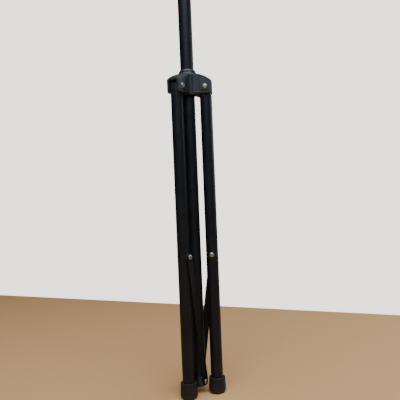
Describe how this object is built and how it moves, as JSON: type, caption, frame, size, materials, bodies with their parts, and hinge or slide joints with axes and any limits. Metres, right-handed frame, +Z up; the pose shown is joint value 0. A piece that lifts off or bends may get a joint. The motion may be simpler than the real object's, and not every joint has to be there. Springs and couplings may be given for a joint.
{
  "type": "boom microphone stand",
  "caption": "Folding tripod microphone stand with telescopic column and tilting, sliding boom, shown folded with the legs hanging along the column.",
  "frame": {"origin": "column axis at floor level, with the folded stand upright on its three feet", "axes": "+Z up along the column, +X to the side of the first leg, +Y away from the T-handle of the boom joint"},
  "size_m": [0.0791, 0.0925, 1.608],
  "materials": {
    "black_powder_coat": "satin black powder coat on steel tube",
    "black_strip": "satin black paint on flat steel",
    "housing_plastic": "fine-grained black moulded plastic",
    "knob_plastic": "fine-grained black moulded plastic",
    "nylon": "dark grey nylon",
    "rivet_steel": "bright zinc-plated steel",
    "zinc_steel": "zinc-plated steel",
    "brass_insert": "plain brass",
    "foot_rubber": "dull black-brown rubber",
    "cast_black": "black painted zinc casting"
  },
  "bodies": {
    "leg_housing": {"leg_housing": "housing_plastic", "housing_bush": "nylon", "leg_hinge_rivets": "rivet_steel", "lock_nut": "brass_insert"},
    "lock_knob": {"lock_knob": "knob_plastic", "lock_screw": "zinc_steel"},
    "leg_1": {"leg_tube_1": "black_powder_coat", "leg_head_1": "knob_plastic", "foot_1": "foot_rubber", "strut_spacer_1": "nylon", "leg_rivet_1": "rivet_steel"},
    "strut_1": {"strut_1": "black_strip", "strut_rivet_1": "rivet_steel"},
    "leg_2": {"leg_tube_2": "black_powder_coat", "leg_head_2": "knob_plastic", "foot_2": "foot_rubber", "strut_spacer_2": "nylon", "leg_rivet_2": "rivet_steel"},
    "strut_2": {"strut_2": "black_strip", "strut_rivet_2": "rivet_steel"},
    "leg_3": {"leg_tube_3": "black_powder_coat", "leg_head_3": "knob_plastic", "foot_3": "foot_rubber", "strut_spacer_3": "nylon", "leg_rivet_3": "rivet_steel"},
    "strut_3": {"strut_3": "black_strip", "strut_rivet_3": "rivet_steel"},
    "column": {"column_tube": "black_powder_coat", "column_foot": "knob_plastic", "clutch_body": "housing_plastic", "clutch_collet": "nylon"},
    "clutch_grip": {"clutch_grip": "knob_plastic"},
    "guide_plug": {"guide_plug": "nylon"},
    "inner_tube": {"inner_tube": "black_powder_coat", "mast_stud": "zinc_steel", "boom_yoke": "cast_black", "friction_disc": "nylon", "clamp_bolt": "zinc_steel", "clamp_washer": "zinc_steel"},
    "boom_clamp": {"boom_clamp": "cast_black"},
    "clamp_handle": {"clamp_handle": "knob_plastic"},
    "boom": {"boom_tube": "black_powder_coat", "boom_end_cap": "foot_rubber", "mic_stud": "zinc_steel"}
  },
  "joints": [
    {"name": "column_slide", "type": "slide", "parent": "leg_housing", "child": "column", "axis": [0, 0, 1], "range_m": [0, 0.16001]},
    {"name": "leg_1_spread", "type": "hinge", "parent": "leg_housing", "child": "leg_1", "pos_m": [0.02913, -0.00399, 0.505], "axis": [-0.1357, -0.9907, 0], "range_deg": [0, 35]},
    {"name": "leg_2_spread", "type": "hinge", "parent": "leg_housing", "child": "leg_2", "pos_m": [-0.01802, -0.02323, 0.505], "axis": [-0.7902, 0.6129, 0], "range_deg": [0, 35]},
    {"name": "leg_3_spread", "type": "hinge", "parent": "leg_housing", "child": "leg_3", "pos_m": [-0.01111, 0.02722, 0.505], "axis": [0.9259, 0.3778, 0], "range_deg": [0, 35]},
    {"name": "strut_1_swing", "type": "hinge", "parent": "leg_1", "child": "strut_1", "pos_m": [0.02913, -0.00399, 0.23], "axis": [0.1357, 0.9907, 0], "range_deg": [0, 88.99]},
    {"name": "strut_2_swing", "type": "hinge", "parent": "leg_2", "child": "strut_2", "pos_m": [-0.01802, -0.02323, 0.23], "axis": [0.7902, -0.6129, 0], "range_deg": [0, 88.99]},
    {"name": "strut_3_swing", "type": "hinge", "parent": "leg_3", "child": "strut_3", "pos_m": [-0.01111, 0.02722, 0.23], "axis": [-0.9259, -0.3778, 0], "range_deg": [0, 88.99]},
    {"name": "lock_knob_turn", "type": "hinge", "parent": "leg_housing", "child": "lock_knob", "pos_m": [0.0239, 0.03082, 0.5095], "axis": [0.6129, 0.7902, 0], "range_deg": [0, 540]},
    {"name": "clutch_grip_turn", "type": "hinge", "parent": "column", "child": "clutch_grip", "pos_m": [0, 0, 0.896], "axis": [0, 0, 1], "range_deg": [0, 180]},
    {"name": "mast_slide", "type": "slide", "parent": "column", "child": "guide_plug", "axis": [0, 0, 1], "range_m": [0, 0.48]},
    {"name": "mast_turn", "type": "hinge", "parent": "guide_plug", "child": "inner_tube", "pos_m": [0, 0, 0.35], "axis": [0, 0, 1], "continuous": true},
    {"name": "boom_tilt", "type": "hinge", "parent": "inner_tube", "child": "boom_clamp", "pos_m": [0, -0.01, 1.026], "axis": [0, 1, 0], "range_deg": [-120, 120]},
    {"name": "clamp_handle_turn", "type": "hinge", "parent": "inner_tube", "child": "clamp_handle", "pos_m": [0, -0.04, 1.026], "axis": [0, 1, 0], "range_deg": [0, 360]},
    {"name": "boom_slide", "type": "slide", "parent": "boom_clamp", "child": "boom", "axis": [0, 0, 1], "range_m": [-0.33, 0.03]}
  ],
  "couplings": [
    {"joint": "leg_1_spread", "follows": "column_slide", "rad_per_m": 3.8176},
    {"joint": "leg_2_spread", "follows": "column_slide", "rad_per_m": 3.8176},
    {"joint": "leg_3_spread", "follows": "column_slide", "rad_per_m": 3.8176},
    {"joint": "strut_1_swing", "follows": "column_slide", "rad_per_m": 9.7051},
    {"joint": "strut_2_swing", "follows": "column_slide", "rad_per_m": 9.7051},
    {"joint": "strut_3_swing", "follows": "column_slide", "rad_per_m": 9.7051}
  ]
}
